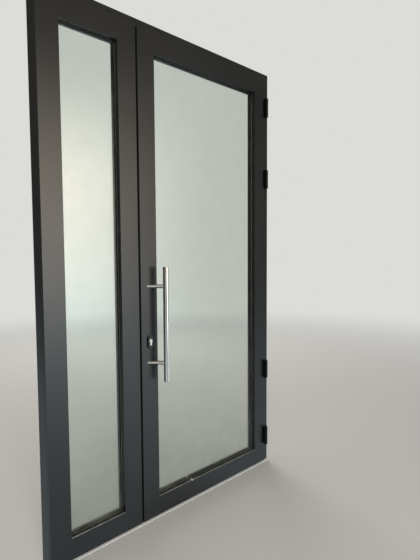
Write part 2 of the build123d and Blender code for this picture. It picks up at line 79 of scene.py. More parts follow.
def linear(colour: str) -> tuple[float, float, float, float]:
    """Turns an sRGB hex colour into linear light.

    Args:
        colour: Seven characters, such as "#33383b".

    Returns:
        Red, green, blue and an alpha of 1.
    """
    parts = [int(colour[i : i + 2], 16) / 255 for i in (1, 3, 5)]
    red, green, blue = (p / 12.92 if p <= 0.04045 else ((p + 0.055) / 1.055) ** 2.4 for p in parts)
    return red, green, blue, 1.0


def per_mm(size: float) -> float:
    """Gives the texture scale at which one feature is this many millimetres across."""
    return 1 / (size * MM)


def add_node(
    tree: Tree, kind: str, *values: object, inputs: dict | None = None, output: object = 0,
    **settings: object,
) -> Socket | None:
    """Adds one node with its settings, and fills or links its inputs.

    Args:
        tree: The node tree that takes the node.
        kind: The node's type without its ShaderNode prefix.
        *values: Values or sockets for its first inputs, in order.
        inputs: Values or sockets for further inputs, by name or number.
        output: The name or number of the output wanted.
        **settings: Properties of the node itself.

    Returns:
        That output's socket, or None where the node has no outputs.
    """
    node = tree.nodes.new(f"ShaderNode{kind}")
    for key, value in settings.items():
        setattr(node, key, value)
    for key, value in {**dict(enumerate(values)), **(inputs or {})}.items():
        if isinstance(value, Socket):
            tree.links.new(value, node.inputs[key])
        else:
            node.inputs[key].default_value = value
    return node.outputs[output] if node.outputs else None


# Settings that the nodes below share
SMOOTH = {"interpolation_type": "SMOOTHSTEP"}
COLOURS = {"data_type": "RGBA", "output": 2}
# the numbers of a Mix node's inputs, for values and for colours
FROM, TO = 2, 3
FROM_COLOUR, TO_COLOUR = 6, 7
# the band that holds nearly all of a noise texture's values
NOISE_BAND = (0.3, 0.7)

DUST = "#bbbab5"
PLASTER = "#cfccc3"
PLASTER_ROUGHNESS = 0.9
# how far up a face looks, as its normal's Z, where dust starts to lie and where it lies in full
DUST_SLOPES = (0.3, 0.75)
DUST_PATCH_MM = 60.0
DUST_PATCH_BAND = (0.34, 0.66)
DUST_LEAST = 0.6
# the edge of a rectangle that isn't mitred is put this many metres away
FAR = 9.0


def layered(add: Add, colour: str, layers: list[tuple[Socket, str]]) -> Socket:
    """Lays tones over a colour in order, each mixed in by its share.

    Args:
        add: Adds a node to the tree.
        colour: The colour below them all.
        layers: Each layer's share and its tone.

    Returns:
        The tone that shows.
    """
    tone = linear(colour)
    for share, over in layers:
        tones = {FROM_COLOUR: tone, TO_COLOUR: linear(over)}
        tone = add("Mix", share, inputs=tones, **COLOURS)
    return tone


def drifting(
    add: Add, place: Socket, size_mm: float, detail: float, band: Pair, ends: Iterable[float]
) -> Socket:
    """Gives a value that drifts between two ends: a smooth step of a noise texture.

    Args:
        add: Adds a node to the tree.
        place: The point's place.
        size_mm: The size of the drifts.
        detail: How many times finer drifts are laid over them.
        band: The noise values between which it goes from one end to the other.
        ends: The two ends.

    Returns:
        The value.
    """
    noise = add("TexNoise", place, inputs={"Scale": per_mm(size_mm), "Detail": detail})
    return add("MapRange", noise, *band, *ends, **SMOOTH)


def settled_dust(add: Add, place: Socket, amount: Socket | float) -> Socket:
    """Gives how much dust lies at a point: soft patches on faces that look up, none elsewhere.

    It is a smooth step of the normal's Z, times a slow noise, times the amount.

    Args:
        add: Adds a node to the material's tree.
        place: The point's place.
        amount: The most dust that lies there.

    Returns:
        The dust's share of the surface.
    """
    up = add("SeparateXYZ", add("NewGeometry", output="Normal"), output="Z")
    facing_up = add("MapRange", up, *DUST_SLOPES, 0.0, 1.0, **SMOOTH)
    patches = drifting(add, place, DUST_PATCH_MM, 4.0, DUST_PATCH_BAND, (DUST_LEAST, 1.0))
    laid = add("Math", facing_up, patches, operation="MULTIPLY")
    return add("Math", laid, amount, operation="MULTIPLY")


# Finishes


class Grain(Enum):
    """Which way a metal's brush, die or rolling marks run: the marks' scale on each axis."""

    NONE = (1.0, 1.0, 1.0)
    UPRIGHT = (1.0, 1.0, 0.012)
    LEVEL = (0.004, 1.0, 1.0)


@dataclass(frozen=True)
class Finish(ABC):
    """A surface finish, which becomes one material.

    Attributes:
        name: The real material and how its surface was made.
        colour: Its sRGB colour.
        roughness: How far from a mirror it is.
    """

    name: str
    colour: str
    roughness: float

    def build(self) -> bpy.types.Material:
        """Makes the material.

        Returns:
            The material, with its nodes.
        """
        material = bpy.data.materials.new(self.name)
        material.use_nodes = True
        material.node_tree.nodes.clear()
        material.diffuse_color = linear(self.colour)
        add = partial(add_node, material.node_tree)
        add("OutputMaterial", self.shade(add, add("TexCoord", output="Object")))
        return material

    @abstractmethod
    def shade(self, add: Add, place: Socket) -> Socket:
        """Builds the finish's shader; each kind of finish has its own.

        Args:
            add: Adds a node to the material's tree.
            place: The point's place.

        Returns:
            The shader.
        """


@dataclass(frozen=True)
class PowderCoat(Finish):
    """Polyester powder baked on extruded aluminium: a satin skin with a fine pebbled grain.

    The coat drifts a little in tone and gloss, each mitred member differs slightly from the
    next, a dark hairline shows where they meet, and a thin pale line runs along the front edge
    of each ledge, under each pane: dust that clings there, and a painted highlight where the
    edge catches light.

    Attributes:
        light: The lighter tone of its slow drift.
        drift_mm: The size of that drift.
        rail_tone: The tone that level members lean to.
        rail_lean: How far they lean to it.
        rail_dulling: How much rougher they are.
        seam_tone: The tone of the hairline along each mitre.
        seam_strength: How fully the hairline takes it.
        seam_mm: How far the hairline reaches to each side, along the rail.
        left, right, bottom, top: The rectangle whose corners are mitred, in metres.
        front, back: Its two faces, whose edges the dust clings to.
        dust: How much dust and painted highlight lies along those edges, and how much dust past
            its line.
        dust_and_highlight_mm: The distances from an edge between which the line ends.
        dust_and_highlight_heights: The heights between which it thins out, in metres.
        dust_and_highlight_above: The share of it that lies higher up.
        dust_dulling: How rough the coat is under it, for each share of dust.
        wipe_mm: The size of the slow drift in gloss, as wiping leaves it.
        wipe_squeeze: Its scale along Z, so that it runs upright.
        gloss_swing: How much smoother and rougher the coat is at that drift's two ends.
        grain_mm: The size of its pebbles.
        grain_depth_mm: How deep they look.
        grain_strength: How much of that depth is drawn.
        splashes: X, Z and radius of plaster spots, in metres.
        splash_mm: The size of the noise that makes their edge wander.
        splash_reach: How many radii out the edge is where that noise is 0.
    """

    light: str = "#1e2021"
    drift_mm: float = 300.0
    rail_tone: str = "#151718"
    rail_lean: float = 0.2
    rail_dulling: float = 0.02
    seam_tone: str = "#0a0a0a"
    seam_strength: float = 0.85
    seam_mm: float = 0.9
    left: float = -FAR
    right: float = FAR
    bottom: float = -FAR
    top: float = FAR
    front: float = -FAR
    back: float = FAR
    dust: Pair = (0.8, 0.05)
    dust_and_highlight_mm: Pair = (2.4, 6.0)
    dust_and_highlight_heights: Pair = (0.3, 1.2)
    dust_and_highlight_above: float = 0.06
    dust_dulling: float = 2.5
    wipe_mm: float = 120.0
    wipe_squeeze: float = 0.4
    gloss_swing: Pair = (-0.006, 0.012)
    # the powder's own grain is about 0.4 mm, drawn coarser so that it shows
    grain_mm: float = 1.4
    grain_depth_mm: float = 0.025
    grain_strength: float = 0.2
    splashes: tuple[Triple, ...] = ()
    splash_mm: float = 5.0
    splash_reach: float = 1.4

    def nearest(self, add: Add, place: Socket, axis: str, low: float, high: float) -> Socket:
        """Measures from a point to the nearer of two planes across an axis.

        Args:
            add, place: As for Finish.shade.
            axis: "X", "Y" or "Z".
            low: Where the lower plane crosses it.
            high: Where the higher plane crosses it.

        Returns:
            The distance, positive between the planes.
        """
        along = add("SeparateXYZ", place, output=axis)
        from_low = add("Math", along, low, operation="SUBTRACT")
        from_high = add("Math", high, along, operation="SUBTRACT")
        return add("Math", from_low, from_high, operation="MINIMUM")

    def mitre_turn(self, add: Add, place: Socket) -> Socket:
        """Measures how much nearer a point is to the level edges than to the upright ones.

        It is the distance to the nearer upright edge minus the distance to the nearer level
        edge, so it is positive on rails, negative on stiles and zero along each mitre.

        Args:
            add, place: As for Finish.shade.

        Returns:
            The difference in metres.
        """
        across = self.nearest(add, place, "X", self.left, self.right)
        up = self.nearest(add, place, "Z", self.bottom, self.top)
        return add("Math", across, up, operation="SUBTRACT")

    def edge_dust_and_highlight(self, add: Add, place: Socket) -> Socket:
        """Gives the pale line of dust and painted highlight along each ledge's edge, less higher
        up.

        Args:
            add, place: As for Finish.shade.

        Returns:
            The share of the surface that the dust and the painted highlight take.
        """
        from_face = self.nearest(add, place, "Y", self.front, self.back)
        line = (width * MM for width in self.dust_and_highlight_mm)
        dust_and_highlight_line = add("MapRange", from_face, *line, *self.dust, **SMOOTH)
        height = add("SeparateXYZ", place, output="Z")
        trodden = add("MapRange", height, *self.dust_and_highlight_heights, 1.0, self.dust_and_highlight_above, **SMOOTH)
        return settled_dust(add, place, add("Math", dust_and_highlight_line, trodden, operation="MULTIPLY"))

    def splashed(self, add: Add, place: Socket) -> Socket:
        """Marks the plaster spots: discs in X and Z whose edge wanders with noise.

        Args:
            add, place: As for Finish.shade.

        Returns:
            1 inside the spots, 0 elsewhere.
        """
        wander = add("TexNoise", place, inputs={"Scale": per_mm(self.splash_mm), "Detail": 3.0})
        total = 0.0
        for at_x, at_z, radius in self.splashes:
            away = add("VectorMath", place, (at_x, 0.0, at_z), operation="SUBTRACT")
            flat = add("VectorMath", away, (1.0, 0.0, 1.0), operation="MULTIPLY")
            reach = add("VectorMath", flat, output="Value", operation="LENGTH")
            edge = add("Math", wander, radius, reach, operation="MULTIPLY_ADD")
            spot = add("Math", edge, self.splash_reach * radius, operation="LESS_THAN")
            total = add("Math", total, spot, operation="MAXIMUM")
        return total

    def shade(self, add: Add, place: Socket) -> Socket:
        """Builds the coat: its tone, then its gloss, then its grain.

        Args:
            add, place: As for Finish.shade.

        Returns:
            The shader.
        """
        turn = self.mitre_turn(add, place)
        rail = add("Math", turn, 0.0, operation="GREATER_THAN")
        from_mitre = add("Math", turn, operation="ABSOLUTE")
        seam = add("Math", from_mitre, self.seam_mm * MM, operation="LESS_THAN")
        # dust, with a painted highlight where each ledge's front edge catches light
        dust = self.edge_dust_and_highlight(add, place)
        layers = [
            (drifting(add, place, self.drift_mm, 2.0, NOISE_BAND, (0.0, 1.0)), self.light),
            (add("Math", rail, self.rail_lean, operation="MULTIPLY"), self.rail_tone),
            (add("Math", seam, self.seam_strength, operation="MULTIPLY"), self.seam_tone),
            (dust, DUST),
        ]

        stretched = add("Mapping", place, inputs={"Scale": (1.0, 1.0, self.wipe_squeeze)})
        ends = (self.roughness + swing for swing in self.gloss_swing)
        rough = drifting(add, stretched, self.wipe_mm, 3.0, NOISE_BAND, ends)
        rough = add("Math", rail, self.rail_dulling, rough, operation="MULTIPLY_ADD")
        matt = add("Math", dust, self.dust_dulling, operation="MULTIPLY")
        rough = add("Math", rough, matt, operation="MAXIMUM")
        if self.splashes:
            splash = self.splashed(add, place)
            layers.append((splash, PLASTER))
            chalky = add("Math", splash, PLASTER_ROUGHNESS, operation="MULTIPLY")
            rough = add("Math", rough, chalky, operation="MAXIMUM")

        pebbles = add("TexNoise", place, inputs={"Scale": per_mm(self.grain_mm), "Detail": 2.0})
        depth = self.grain_depth_mm * MM
        relief = {"Height": pebbles, "Strength": self.grain_strength, "Distance": depth}
        return add("BsdfPrincipled", inputs={
            "Base Color": layered(add, self.colour, layers), "Roughness": rough,
            "Normal": add("Bump", inputs=relief),
        })


@dataclass(frozen=True)
class FloatGlass(Finish):
    """Clear float glass: smooth, with the faint green of its iron and a film of builder's dust.

    Attributes:
        ior: Its index of refraction.
        in_shadow: What colour a lamp's light keeps on its way through.
        film: The film's colour.
        film_shares: How much of it lies near the bottom edge and above.
        film_heights: The heights in metres between which it thins out.
        smear_mm: The size of its smears.
        smear_band: The noise values between which a smear grows.
        smear_least: The share of the film that lies between the smears.
    """

    ior: float = 1.52
    in_shadow: str = "#dfe7e2"
    film: str = "#b9bbb2"
    film_shares: Pair = (0.06, 0.012)
    film_heights: Pair = (0.1, 0.55)
    smear_mm: float = 90.0
    smear_band: Pair = (0.38, 0.72)
    smear_least: float = 0.1

    def shade(self, add: Add, place: Socket) -> Socket:
        """Builds the glass, which lets lamps through, under a thin film of dust.

        Args:
            add, place: As for Finish.shade.

        Returns:
            The shader.
        """
        glass = add("BsdfPrincipled", inputs={
            "Base Color": linear(self.colour), "Roughness": self.roughness, "IOR": self.ior,
            "Transmission Weight": 1.0,
        })
        clear = add("BsdfTransparent", linear(self.in_shadow))
        pane = add("MixShader", add("LightPath", output="Is Shadow Ray"), glass, clear)
        height = add("SeparateXYZ", place, output="Z")
        low = add("MapRange", height, *self.film_heights, *self.film_shares, **SMOOTH)
        smears = drifting(add, place, self.smear_mm, 6.0, self.smear_band, (self.smear_least, 1.0))
        share = add("Math", low, smears, operation="MULTIPLY")
        return add("MixShader", share, pane, add("BsdfDiffuse", linear(self.film)))


@dataclass(frozen=True)
class Metal(Finish):
    """Bare metal whose brush, die or rolling marks give it long fine streaks.

    Attributes:
        metallic: 1 for bare metal, less where an oxide skin scatters some light.
        grain: Which way the marks run.
        mark_mm: The marks' spacing.
        mark_depth_mm: How deep they look.
        mark_strength: How much of that depth is drawn.
        gloss_swing: How much smoother and rougher the metal is along a mark.
        stain: A second tone, in slow blots.
        stained: How strong the blots are.
        blot_mm: Their size.
        blot_band: The noise values between which a blot grows.
        dust: How much dust lies on what looks up.
        foot_shadow_mm: The heights between which the painted shadow along its foot ends; empty is
            none.
        rib_mm: The spacing of ribs that run along X; 0 is plain.
        rib_start: The Y of the first rib's crest, in metres.
        rib_depth: How deep the grooves look, as a share of the spacing.
        rib_strength: How much of that depth is drawn.
        groove_band: The cosine's values between which a groove's darkening ends.
        groove_darkening: How much darker the grooves are drawn.
        foot_shadow_and_groove_tone: The tone of the painted shadow along the foot and of the
            grooves.
    """

    metallic: float = 1.0
    grain: Grain = Grain.NONE
    mark_mm: float = 1.2
    mark_depth_mm: float = 0.02
    mark_strength: float = 0.5
    gloss_swing: Pair = (-0.05, 0.07)
    stain: str = "#8f8b84"
    stained: float = 0.25
    blot_mm: float = 40.0
    blot_band: Pair = (0.4, 0.7)
    dust: float = 0.0
    foot_shadow_mm: tuple[float, ...] = ()
    rib_mm: float = 0.0
    rib_start: float = 0.0
    rib_depth: float = 0.1
    rib_strength: float = 0.5
    groove_band: Pair = (-0.9, -0.3)
    groove_darkening: float = 0.55
    foot_shadow_and_groove_tone: str = "#1b1a18"

    def shade(self, add: Add, place: Socket) -> Socket:
        """Builds the metal: blots, marks, dust, a painted shadow along its foot and, where it has
        them, ribs.

        The ribs' height is the cosine of the way across, one turn for each spacing.

        Args:
            add, place: As for Finish.shade.

        Returns:
            The shader.
        """
        blots = drifting(add, place, self.blot_mm, 4.0, self.blot_band, (0.0, self.stained))
        layers = [(blots, self.stain)]
        along = add("Mapping", place, inputs={"Scale": self.grain.value})
        marks = add("TexNoise", along, inputs={"Scale": per_mm(self.mark_mm), "Detail": 3.0})
        ends = (self.roughness + swing for swing in self.gloss_swing)
        rough = add("MapRange", marks, *NOISE_BAND, *ends, **SMOOTH)
        if self.dust:
            dust = settled_dust(add, place, self.dust)
            layers.append((dust, DUST))
            rough = add("Math", rough, dust, operation="MAXIMUM")
        # a painted shadow along the foot, where the metal meets the floor
        if self.foot_shadow_mm:
            height = add("SeparateXYZ", place, output="Z")
            edge = (up * MM for up in self.foot_shadow_mm)
            foot = add("MapRange", height, *edge, 1.0, 0.0, **SMOOTH)
            layers.append((foot, self.foot_shadow_and_groove_tone))
        depth = self.mark_depth_mm * MM
        relief = {"Height": marks, "Strength": self.mark_strength, "Distance": depth}
        normal = add("Bump", inputs=relief)
        if self.rib_mm:
            across = add("SeparateXYZ", place, output="Y")
            past = add("Math", across, self.rib_start, operation="SUBTRACT")
            turns = add("Math", past, 2 * math.pi * per_mm(self.rib_mm), operation="MULTIPLY")
            rib = add("Math", turns, operation="COSINE")
            groove = add("MapRange", rib, *self.groove_band, self.groove_darkening, 0.0, **SMOOTH)
            layers.append((groove, self.foot_shadow_and_groove_tone))
            depth = self.rib_depth * self.rib_mm * MM
            relief = {"Height": rib, "Strength": self.rib_strength, "Distance": depth}
            normal = add("Bump", inputs={**relief, "Normal": normal})
        return add("BsdfPrincipled", inputs={
            "Base Color": layered(add, self.colour, layers), "Roughness": rough,
            "Metallic": self.metallic, "Normal": normal,
        })


@dataclass(frozen=True)
class Moulded(Finish):
    """Rubber, plastic or a sprayed coat: one colour, a soft sheen and a fine skin.

    Attributes:
        specular: How strong its sheen is; 0.5 is a plain plastic's.
        worn: The tone of its slightly rubbed patches.
        rubbed: How strong they are.
        rub_mm: Their size.
        rub_band: The noise values between which a patch grows.
        gloss_mm: The size of its drifts in gloss.
        gloss_swing: How much smoother and rougher it is at a drift's two ends.
        skin_mm: The size of its surface grain.
        skin_depth_mm: How deep that grain looks.
        skin_strength: How much of that depth is drawn.
        dust: How much dust lies on what looks up.
    """

    specular: float = 0.5
    worn: str = "#1c1c1b"
    rubbed: float = 0.3
    rub_mm: float = 35.0
    rub_band: Pair = (0.35, 0.75)
    gloss_mm: float = 12.0
    gloss_swing: Pair = (-0.04, 0.05)
    skin_mm: float = 1.5
    skin_depth_mm: float = 0.04
    skin_strength: float = 0.4
    dust: float = 0.08

    def shade(self, add: Add, place: Socket) -> Socket:
        """Builds the moulding: rubbed patches, dust, drifts in gloss and the grain of its skin.

        Args:
            add, place: As for Finish.shade.

        Returns:
            The shader.
        """
        patches = drifting(add, place, self.rub_mm, 4.0, self.rub_band, (0.0, self.rubbed))
        layers = [(patches, self.worn), (settled_dust(add, place, self.dust), DUST)]
        ends = (self.roughness + swing for swing in self.gloss_swing)
        rough = drifting(add, place, self.gloss_mm, 3.0, NOISE_BAND, ends)
        skin = add("TexNoise", place, inputs={"Scale": per_mm(self.skin_mm), "Detail": 2.0})
        depth = self.skin_depth_mm * MM
        relief = {"Height": skin, "Strength": self.skin_strength, "Distance": depth}
        return add("BsdfPrincipled", inputs={
            "Base Color": layered(add, self.colour, layers), "Roughness": rough,
            "Specular IOR Level": self.specular, "Normal": add("Bump", inputs=relief),
        })


# Meshes

# edges that turn by less than this are shaded smooth
SMOOTH_TURN_DEG = 35.0


class Side(Enum):
    """A side of the door; its value is the way along Y that it looks."""

    OUTER = -1
    INNER = 1


def make_piece(
    name: str, points: Array, faces: list[list[int]], material: bpy.types.Material, body: str,
) -> bpy.types.Object:
    """Makes one object from worked-out points, and lets it ride on a body.

    Args:
        name: The piece's name.
        points: Its points, one row each, in metres.
        faces: The points of each face; which way round doesn't matter.
        material: Its finish.
        body: The body it moves with.

    Returns:
        The new object.
    """
    mesh = bpy.data.meshes.new(name)
    mesh.from_pydata(points.tolist(), [], faces)
    shell = bmesh.new()
    shell.from_mesh(mesh)
    bmesh.ops.recalc_face_normals(shell, faces=shell.faces)
    shell.to_mesh(mesh)
    shell.free()
    mesh.materials.append(material)
    mesh.shade_smooth()
    mesh.set_sharp_from_angle(angle=math.radians(SMOOTH_TURN_DEG))
    piece = bpy.data.objects.new(name, mesh)
    bpy.context.collection.objects.link(piece)
    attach(piece, body)
    LOG.info("made %s, %d faces", name, len(faces))
    return piece


def loop_faces(rows: int, columns: int, closed_rows: bool = False) -> list[list[int]]:
    """Gives the quads of a grid whose columns close into loops.

    Args:
        rows: How many loops there are.
        columns: How many points each loop has.
        closed_rows: Whether the last loop joins the first.

    Returns:
        The points of each quad.
    """
    first = np.arange(rows if closed_rows else rows - 1)
    row, column = np.meshgrid(first, np.arange(columns), indexing="ij")
    after, beside = (row + 1) % rows * columns, (column + 1) % columns
    row = row * columns
    quads = [row + column, row + beside, after + beside, after + column]
    return np.stack(quads, -1).reshape(-1, 4).tolist()


def swept_ring(low: Vector, high: Vector, section: Array, side: Side) -> Array:
    """Carries a section round an upright rectangle, with mitred corners.

    A section point with inset u and depth v goes, at each corner, to the corner moved inwards
    by u along both X and Z, and by v from the ring's face on that side into the ring.

    Args:
        low: The lowest corner of the ring's box.
        high: Its highest corner.
        section: Inset and depth of each section point, in metres.
        side: The side of the door that the face of depth 0 looks to.

    Returns:
        Four loops of points, one for each corner.
    """
    corners = np.array([[low.x, low.z], [high.x, low.z], [high.x, high.z], [low.x, high.z]])
    inwards = np.array([[1, 1], [-1, 1], [-1, -1], [1, -1]])
    inset, depth = section[:, 0], section[:, 1]
    x = corners[:, :1] + inwards[:, :1] * inset
    z = corners[:, 1:] + inwards[:, 1:] * inset
    face = high.y if side is Side.INNER else low.y
    y = np.broadcast_to(face - side.value * depth, x.shape)
    return np.stack([x, y, z], -1).reshape(-1, 3)


@dataclass(frozen=True)
class SocketScrew:
    """A low round screw head with a hexagon socket.

    Attributes:
        radius: The head's radius.
        rise: How far it stands proud.
        flats: The socket's width across flats.
        bevel: The rim's bevel, as a share of the radius.
        depth: The socket's depth, as a share of its width.
        sides: How many points each of its loops has.
    """

    radius: float
    rise: float
    flats: float
    bevel: float = 0.12
    depth: float = 0.6
    sides: int = 24

    def heads(self, places: Array, facing: Vector) -> tuple[Array, list[list[int]]]:
        """Works out one head at each place.

        A head is a stack of loops about its axis: a foot, a rim, the rim's bevel, the mouth of
        the socket and its floor. A hexagon's radius at an angle is half its width across flats,
        divided by the cosine of the angle from the middle of the nearest flat.

        Args:
            places: The middle of each head, one row each, on the surface it stands on.
            facing: The direction that the heads look.

        Returns:
            The points of all the heads and their faces.
        """
        axis = np.array(facing.normalized())
        across = np.array(facing.orthogonal().normalized())
        beside = np.cross(axis, across)
        steps = np.arange(self.sides)
        turn = steps * 2 * np.pi / self.sides
        hexagon = self.flats / 2 / np.cos(turn % (np.pi / 3) - np.pi / 6)
        bevel = self.bevel * self.radius
        rim = np.full(self.sides, self.radius)
        reach = np.stack([rim, rim, rim - bevel, hexagon, hexagon])
        floor_height = self.rise - self.flats * self.depth
        height = np.array([-self.rise, self.rise - bevel, self.rise, self.rise, floor_height])
        spokes = np.cos(turn)[:, None] * across + np.sin(turn)[:, None] * beside
        loops = (reach[..., None] * spokes + height[:, None, None] * axis).reshape(-1, 3)
        head = np.vstack([loops, height[0] * axis, height[-1] * axis])
        foot, floor = len(loops), len(loops) + 1
        following = (steps + 1) % self.sides
        last = len(loops) - self.sides
        quads = np.array(loop_faces(len(reach), self.sides))
        fans = np.vstack([
            np.stack([following, steps, 0 * steps + foot], 1),
            np.stack([steps + last, following + last, 0 * steps + floor], 1),
        ])
        points = (places[:, None, :] + head[None]).reshape(-1, 3)
        starts = (np.arange(len(places)) * len(head))[:, None, None]
        faces = (quads[None] + starts).reshape(-1, 4).tolist()
        faces += (fans[None] + starts).reshape(-1, 3).tolist()
        return points, faces


# The door's sub-assemblies

# satin and nearly black: the window shows in it only as a soft gleam
COAT_COLOUR = "#1a1c1d"
COAT_ROUGHNESS = 0.285
# a plain dark line round each pane, without a gleam
RUBBER = Moulded("extruded black rubber", "#060606", 0.5, specular=0.15, skin_mm=2.0, dust=0.03)
# all but clear: the eye looks through to the spacer and the beads
GLASS = FloatGlass("clear float glass", "#f6faf7", 0.0)
# a thin warm line between the panes, round each unit
EDGE_SPACER = Moulded("grey warm-edge spacer", "#5e5a55", 0.45, worn="#54504b", dust=0.0)
# a fine lengthwise brush, which draws the highlight out into a soft streak
STAINLESS = Metal("brushed stainless steel", "#c6c3bd", 0.17, grain=Grain.UPRIGHT, stain="#b3aea5")
# ground and bare, bright where parts slide or turn
BRIGHT_STEEL = Metal("ground steel", "#c4c4c2", 0.22, grain=Grain.UPRIGHT)
# a thin bluish plating that dries in slow blots
ZINC = Metal("zinc plated steel", "#b3b5b8", 0.32, stain="#9aa0a3")
# as it left the die: dull grey with long level lines
MILL = Metal("mill finished aluminium", "#a9a9a7", 0.42, grain=Grain.LEVEL)
# a pale oxide skin over ribs: a bright strip at the floor, darker in its grooves, with a painted
# shadow along its foot
SILVER = Metal(
    "silver anodised aluminium", "#f8f8f7", 0.36, metallic=0.15, grain=Grain.LEVEL,
    stain="#dededb", dust=0.1, foot_shadow_mm=(1.68, 2.4), rib_mm=6.0, rib_start=-0.055,
)
# a warm satin grey against the black escutcheon
NICKEL = Metal("satin nickel on brass", "#c8c6bf", 0.28, stained=0.06)
# a flat deep black: only the knuckles' edges catch light
HINGE_COAT = Moulded(
    "black powder coat on the hinges", "#040404", 0.4, specular=0.2, worn="#0b0b0b"
)
# a black lacquer with a soft gleam, rubbed a little by hands
BLACK_ZINC = Moulded("black sprayed zinc", "#080808", 0.33)
# a plain blue plastic, hidden at the panes' feet
PACKER = Moulded("moulded packer plastic", "#2f5f86", 0.5)
# black all through, barely shiny
NYLON = Moulded("black nylon", "#141414", 0.45)
# a small chip of plaster on the leaf's bottom rail: X, Z and radius in metres
PLASTER_CHIP: Triple = (0.075, 0.118, 0.005)


@dataclass
class Door:
    """What every sub-assembly shares: the CAD nodes and the finishes.

    Attributes:
        nodes: The CAD nodes by name.
        finishes: The materials made so far, by name.
    """

    nodes: dict[str, bpy.types.Object]
    finishes: dict[str, bpy.types.Material]

    def material(self, finish: Finish) -> bpy.types.Material:
        """Builds a finish the first time it is asked for.

        Args:
            finish: The finish wanted.

        Returns:
            Its material.
        """
        if finish.name not in self.finishes:
            self.finishes[finish.name] = finish.build()
        return self.finishes[finish.name]

    def dress(self, finish: Finish, *names: str) -> None:
        """Gives a finish to every material slot of some nodes.

        Args:
            finish: The finish.
            *names: The nodes' names.
        """
        for name in names:
            for slot in self.nodes[name].material_slots:
                slot.material = self.material(finish)
            LOG.info("dressed %s in %s", name, finish.name)


@dataclass
class Panel(Door):
    """The leaf or the sidelight: mitred profiles, double glazing, gaskets and beads.

    Attributes:
        name: The panel's name, which starts each of its nodes' names.
        stiles: Its two upright profiles.
        body: The body it rides on.
        splashes: Plaster spots on its ledges: X, Z and radius in metres.
        lip_radius: The radius of a gasket's lip.
        lip_overhang: How far the lip runs past the sight line.
        lip_sides: How many points its half circle has.
        seat: How far the gasket's foot stands off its profile.
        foot_gap: How far the foot ends before the sight line.
        gasket_depth: How far it is from the profile to the glass.
    """

    name: str
    stiles: tuple[str, str]
    body: str
    splashes: tuple[Triple, ...] = ()
    lip_radius: float = 1.8 * MM
    lip_overhang: float = 1.5 * MM
    lip_sides: int = 9
    seat: float = 0.4 * MM
    foot_gap: float = 3.0 * MM
    gasket_depth: float = 4.0 * MM

    def coat(self) -> PowderCoat:
        """Works out the panel's coat, whose mitres run to the corners of its own outline.

        Returns:
            The coat.
        """
        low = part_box(f"{self.name}_{self.stiles[0]}")[0]
        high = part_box(f"{self.name}_{self.stiles[1]}")[1]
        return PowderCoat(
            f"anthracite powder coat on the {self.name}", COAT_COLOUR, COAT_ROUGHNESS,
            left=low.x, right=high.x, bottom=low.z, top=high.z, front=low.y, back=high.y,
            splashes=self.splashes,
        )

    def gasket_section(self, width: float) -> Array:
        """Works out a gasket's section: a flat foot with a round lip along the sight line.

        The lip is half a circle, from the glass round to the front, past the sight line.

        Args:
            width: How far it is from the gasket's outer edge to the sight line.

        Returns:
            Inset and depth of each point; depth is 0 at the profile and grows to the glass.
        """
        turn = np.linspace(np.pi / 2, -np.pi / 2, self.lip_sides)
        middle = width + self.lip_overhang - self.lip_radius
        inset = middle + self.lip_radius * np.cos(turn)
        depth = self.gasket_depth - self.lip_radius + self.lip_radius * np.sin(turn)
        foot = [[width - self.foot_gap, self.seat], [0, self.seat], [0, self.gasket_depth]]
        return np.vstack([np.stack([inset, depth], 1), foot])

    def make_gaskets(self) -> None:
        """Makes the outer and inner gasket, which replace the plain rings."""
        stile_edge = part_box(f"{self.name}_{self.stiles[0]}")[1].x
        for side in Side:
            title = f"{self.name}_{side.name.lower()}"
            low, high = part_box(f"{title}_gasket")
            section = self.gasket_section(stile_edge - low.x)
            points = swept_ring(low, high, section, side)
            faces = loop_faces(4, len(section), closed_rows=True)
            piece = make_piece(
                f"{title}_glazing_gasket", points, faces, self.material(RUBBER), self.body,
            )
            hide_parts(f"{title}_gasket")

    def build(self) -> None:
        """Dresses the panel's nodes and makes its gaskets."""
        name = self.name
        profiles = (*self.stiles, "top_rail", "bottom_rail", "glazing_beads")
        self.dress(self.coat(), *(f"{name}_{part}" for part in profiles))
        self.dress(GLASS, f"{name}_outer_pane", f"{name}_inner_pane")
        self.dress(EDGE_SPACER, f"{name}_spacer")
        self.dress(MILL, f"{name}_corner_cleats")
        self.dress(PACKER, f"{name}_glazing_packers")
        self.make_gaskets()


@dataclass
class Frame(Door):
    """The fixed frame: jambs, head, mullion, threshold, seals and packers."""

    def build(self) -> None:
        """Dresses the frame's nodes."""
        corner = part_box("frame_head")[1]
        coat = PowderCoat(
            "anthracite powder coat on the frame", COAT_COLOUR, COAT_ROUGHNESS,
            right=corner.x, top=corner.z,
        )
        self.dress(coat, "frame_head", "frame_left_jamb", "frame_right_jamb", "mullion")
        self.dress(SILVER, "threshold")
        self.dress(RUBBER, "overlap_seals", "stop_seals")
        self.dress(MILL, "frame_corner_cleat")
        self.dress(STAINLESS, "strike_plate")
        self.dress(PACKER, "sidelight_frame_packers")
        self.dress(NYLON, "sidelight_sill_packer")


